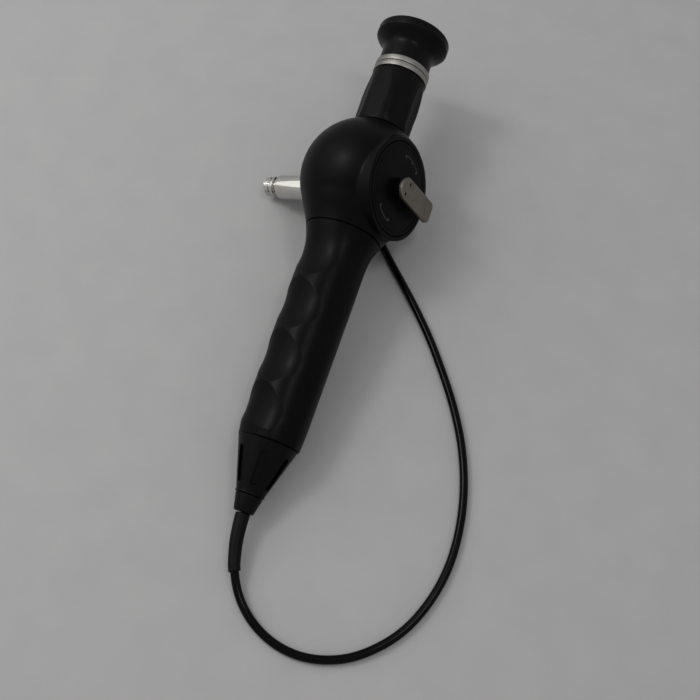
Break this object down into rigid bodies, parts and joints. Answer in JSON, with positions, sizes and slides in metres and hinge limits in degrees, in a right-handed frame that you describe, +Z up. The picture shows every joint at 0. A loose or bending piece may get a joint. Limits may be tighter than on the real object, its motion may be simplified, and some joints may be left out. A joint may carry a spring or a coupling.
{
  "type": "flexible endoscope",
  "caption": "Flexible endoscope with a ball head, finger-scooped grip, thumb lever that bends the tip, focusing eyepiece, light post and a long insertion tube laid in a loop.",
  "frame": {"origin": "on the table, under the middle of the box around the scope without its insertion tube", "axes": "+Z up from the table, +Y along the handle towards the eyepiece, +X towards the lever side"},
  "size_m": [0.1294, 0.261, 0.0576],
  "materials": {
    "bearing_brass": "turned",
    "boot_rubber": "soft black",
    "bright_metal": "polished",
    "cover_black": "fine matt black",
    "eyepiece_black": "smooth black",
    "lever_steel": "warm satin",
    "nose_black": "satin black",
    "optical_glass": "polished",
    "plain_steel": "turned",
    "shell_black": "satin moulded black",
    "tube_black": "smooth flexible black sheath"
  },
  "bodies": {
    "scope_body": {"base_ring": "plain_steel", "chassis_plate": "plain_steel", "eyepiece_cup": "eyepiece_black", "eyepiece_window": "optical_glass", "frame_tube": "plain_steel", "grip_shell": "shell_black", "head_shell": "shell_black", "image_bundle": "eyepiece_black", "insertion_tube": "tube_black", "light_adapter": "bright_metal", "light_bundle": "eyepiece_black", "light_guide_rod": "optical_glass", "light_post": "bright_metal", "neck_sleeve": "plain_steel", "nose_cone": "nose_black", "shaft_bush": "bearing_brass", "shaft_collar": "cover_black", "side_cover": "cover_black", "strain_relief": "boot_rubber", "trim_ring_lower": "bright_metal", "trim_ring_upper": "bright_metal", "tube_collar": "nose_black", "window_keeper": "plain_steel"},
    "lever": {"control_shaft": "plain_steel", "lever_plate": "lever_steel", "lever_pin_1": "plain_steel", "lever_pin_2": "plain_steel", "wire_pulley": "bearing_brass"},
    "wire_up": {"pull_wire_up": "plain_steel"},
    "wire_down": {"pull_wire_down": "plain_steel"},
    "diopter": {"diopter_ring": "nose_black"},
    "ocular": {"lens_carrier": "plain_steel", "ocular_lens": "optical_glass"},
    "link_1": {"bend_link_1": "plain_steel"},
    "link_2": {"bend_link_2": "plain_steel"},
    "link_3": {"bend_link_3": "plain_steel"},
    "link_4": {"bend_link_4": "plain_steel"},
    "link_5": {"bend_link_5": "plain_steel"},
    "tip": {"distal_tip": "plain_steel", "objective_lens": "optical_glass", "light_window_1": "optical_glass", "light_window_2": "optical_glass"}
  },
  "joints": [
    {"name": "lever_turn", "type": "hinge", "parent": "scope_body", "child": "lever", "pos_m": [0.00742, 0.04307, 0.02965], "axis": [0.8596, -0.0777, 0.505], "range_deg": [-55, 55]},
    {"name": "wire_up_pull", "type": "slide", "parent": "scope_body", "child": "wire_up", "axis": [0, 0.9884, 0.152], "range_m": [-0.0066, 0.0066]},
    {"name": "wire_down_pull", "type": "slide", "parent": "scope_body", "child": "wire_down", "axis": [0, 0.9884, 0.152], "range_m": [-0.0066, 0.0066]},
    {"name": "diopter_turn", "type": "hinge", "parent": "scope_body", "child": "diopter", "pos_m": [0.00742, 0.08171, 0.03559], "axis": [0, 0.9884, 0.152], "range_deg": [-45, 45]},
    {"name": "ocular_focus", "type": "slide", "parent": "scope_body", "child": "ocular", "axis": [0, 0.9884, 0.152], "range_m": [-0.0016, 0.0016]},
    {"name": "bend_1", "type": "hinge", "parent": "scope_body", "child": "link_1", "pos_m": [0.00442, 0.07313, 0.00172], "axis": [0, 0, 1], "range_deg": [-22, 22]},
    {"name": "bend_2", "type": "hinge", "parent": "link_1", "child": "link_2", "pos_m": [0.00442, 0.07813, 0.00172], "axis": [0, 0, 1], "range_deg": [-22, 22]},
    {"name": "bend_3", "type": "hinge", "parent": "link_2", "child": "link_3", "pos_m": [0.00442, 0.08313, 0.00172], "axis": [0, 0, 1], "range_deg": [-22, 22]},
    {"name": "bend_4", "type": "hinge", "parent": "link_3", "child": "link_4", "pos_m": [0.00442, 0.08813, 0.00172], "axis": [0, 0, 1], "range_deg": [-22, 22]},
    {"name": "bend_5", "type": "hinge", "parent": "link_4", "child": "link_5", "pos_m": [0.00442, 0.09313, 0.00172], "axis": [0, 0, 1], "range_deg": [-22, 22]},
    {"name": "bend_6", "type": "hinge", "parent": "link_5", "child": "tip", "pos_m": [0.00442, 0.09813, 0.00172], "axis": [0, 0, 1], "range_deg": [-22, 22]}
  ],
  "couplings": [
    {"joint": "wire_up_pull", "follows": "lever_turn", "m_per_rad": 0.00675},
    {"joint": "wire_down_pull", "follows": "lever_turn", "m_per_rad": -0.00675},
    {"joint": "ocular_focus", "follows": "diopter_turn", "m_per_rad": 0.0019},
    {"joint": "bend_1", "follows": "lever_turn", "ratio": 0.3939},
    {"joint": "bend_2", "follows": "lever_turn", "ratio": 0.3939},
    {"joint": "bend_3", "follows": "lever_turn", "ratio": 0.3939},
    {"joint": "bend_4", "follows": "lever_turn", "ratio": 0.3939},
    {"joint": "bend_5", "follows": "lever_turn", "ratio": 0.3939},
    {"joint": "bend_6", "follows": "lever_turn", "ratio": 0.3939}
  ]
}
